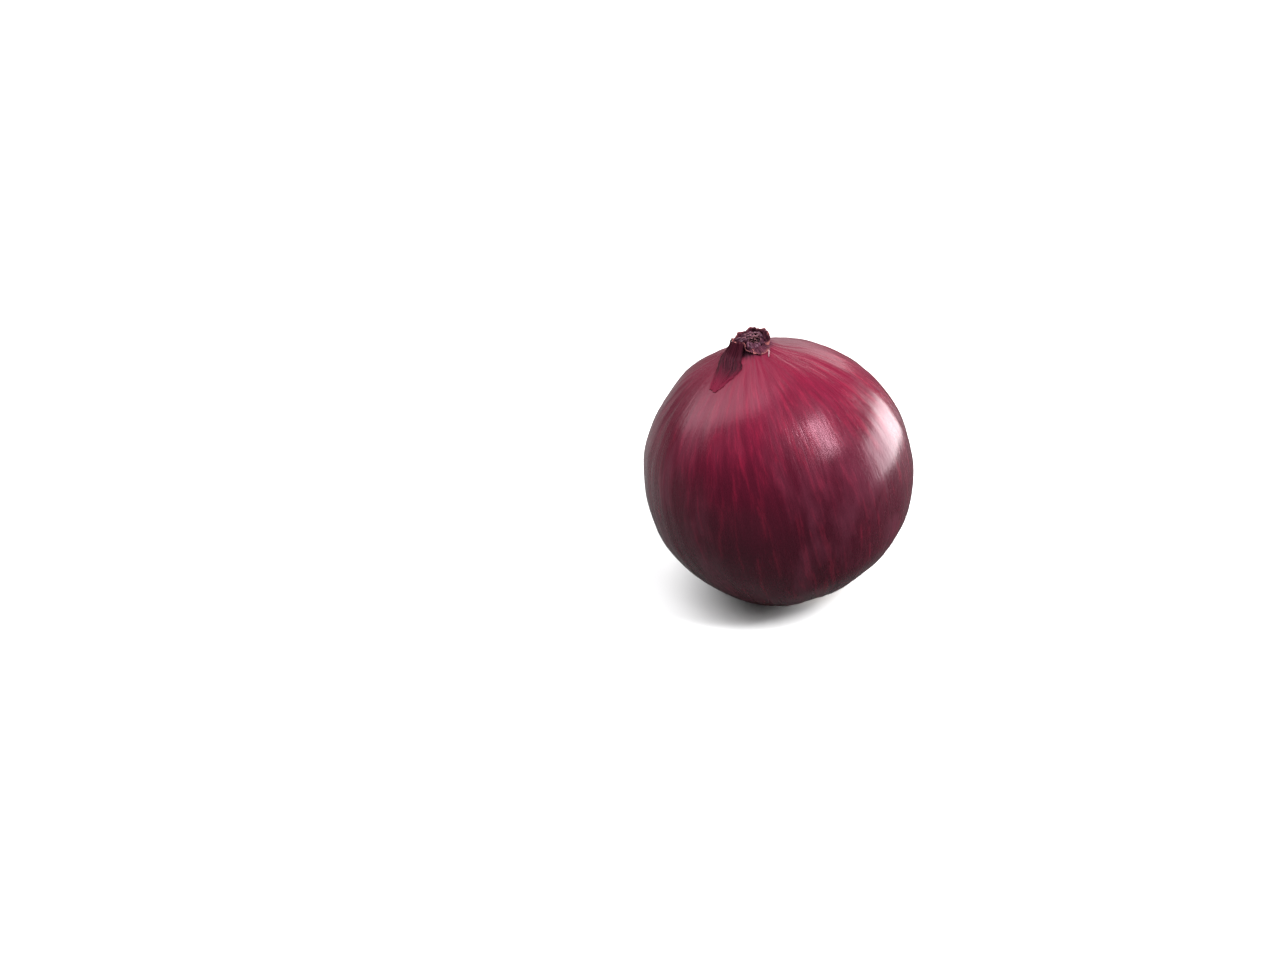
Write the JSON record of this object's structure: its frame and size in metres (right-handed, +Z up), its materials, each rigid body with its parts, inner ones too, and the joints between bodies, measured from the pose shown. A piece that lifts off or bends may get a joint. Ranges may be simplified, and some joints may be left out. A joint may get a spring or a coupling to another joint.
{
  "type": "red onion",
  "caption": "Whole globe-shaped red onion as picked, with a crumpled dry neck, a loose dry scale and dried roots, resting on a small flat spot.",
  "frame": {"origin": "bottom centre of the onion's box, on the surface that it rests on", "axes": "+Z up, the longest extent; the growth axis leans 14.5 degrees from +Z towards -X and slightly +Y; -Y is the front, where the loose scale lies"},
  "size_m": [0.082, 0.082, 0.0855],
  "materials": {
    "purple_skin": "semi-gloss deep magenta to maroon onion skin with fine lengthwise veins",
    "dry_scale": "papery, pleated, brownish purple dry outer scale",
    "dried_roots": "matte straw-coloured dried root fibres"
  },
  "bodies": {
    "root": {"bulb": "purple_skin", "loose_scale": "dry_scale", "root_tuft": "dried_roots"}
  },
  "joints": []
}
